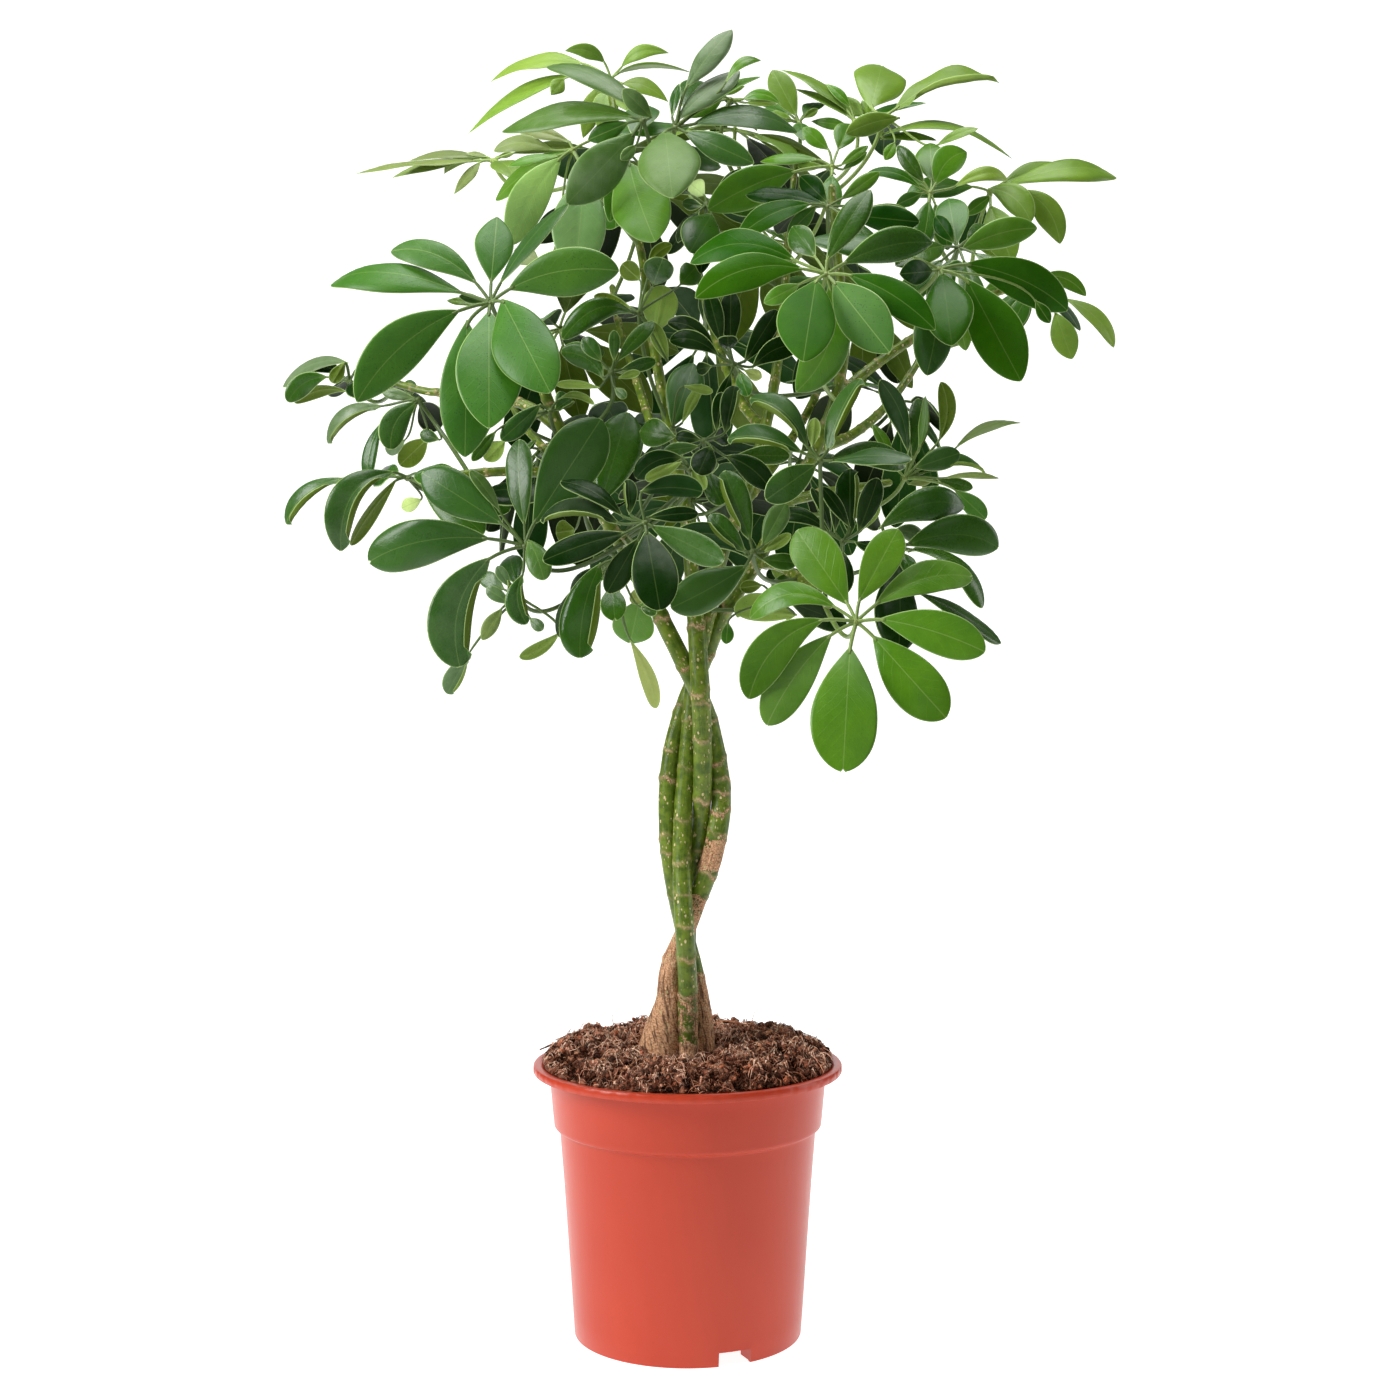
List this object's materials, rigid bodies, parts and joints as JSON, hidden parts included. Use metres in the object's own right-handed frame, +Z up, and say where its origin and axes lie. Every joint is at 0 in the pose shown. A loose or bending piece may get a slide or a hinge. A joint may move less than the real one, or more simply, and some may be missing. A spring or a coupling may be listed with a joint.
{
  "type": "potted umbrella plant",
  "caption": "Potted umbrella plant with a braided trunk, glossy compound leaves that fan out like umbrella ribs, and a flared plastic nursery pot filled with coir.",
  "frame": {"origin": "centre of the pot's underside, on the surface it stands on", "axes": "+Z up the pot's axis; the viewer of the picture looks along +Y, with +X to the right"},
  "size_m": [0.5962, 0.5686, 0.8937],
  "materials": {
    "pot_plastic": "satin",
    "coir": "matte",
    "bark": "satin",
    "leaf": "gloss"
  },
  "bodies": {
    "root": {"pot": "pot_plastic", "soil": "coir", "stem_1": "bark", "stem_2": "bark", "stem_3": "bark", "stem_4": "bark", "leaf_01": "leaf", "leaf_02": "leaf", "leaf_03": "leaf", "leaf_04": "leaf", "leaf_05": "leaf", "leaf_06": "leaf", "leaf_07": "leaf", "leaf_08": "leaf", "leaf_09": "leaf", "leaf_10": "leaf", "leaf_11": "leaf", "leaf_12": "leaf", "leaf_13": "leaf", "leaf_14": "leaf", "leaf_15": "leaf", "leaf_16": "leaf", "leaf_17": "leaf", "leaf_18": "leaf", "leaf_19": "leaf", "leaf_20": "leaf", "leaf_21": "leaf", "leaf_22": "leaf", "leaf_23": "leaf", "leaf_24": "leaf", "leaf_25": "leaf", "leaf_26": "leaf", "leaf_27": "leaf", "leaf_28": "leaf", "leaf_29": "leaf", "leaf_30": "leaf", "leaf_31": "leaf", "leaf_32": "leaf", "leaf_33": "leaf", "leaf_34": "leaf", "leaf_35": "leaf", "leaf_36": "leaf", "leaf_37": "leaf", "leaf_38": "leaf", "leaf_39": "leaf", "leaf_40": "leaf", "leaf_41": "leaf", "leaf_42": "leaf", "leaf_43": "leaf", "leaf_44": "leaf", "leaf_45": "leaf", "leaf_46": "leaf", "leaf_47": "leaf", "leaf_48": "leaf", "leaf_49": "leaf", "leaf_50": "leaf", "leaf_51": "leaf", "leaf_52": "leaf", "leaf_53": "leaf", "leaf_54": "leaf"}
  },
  "joints": []
}
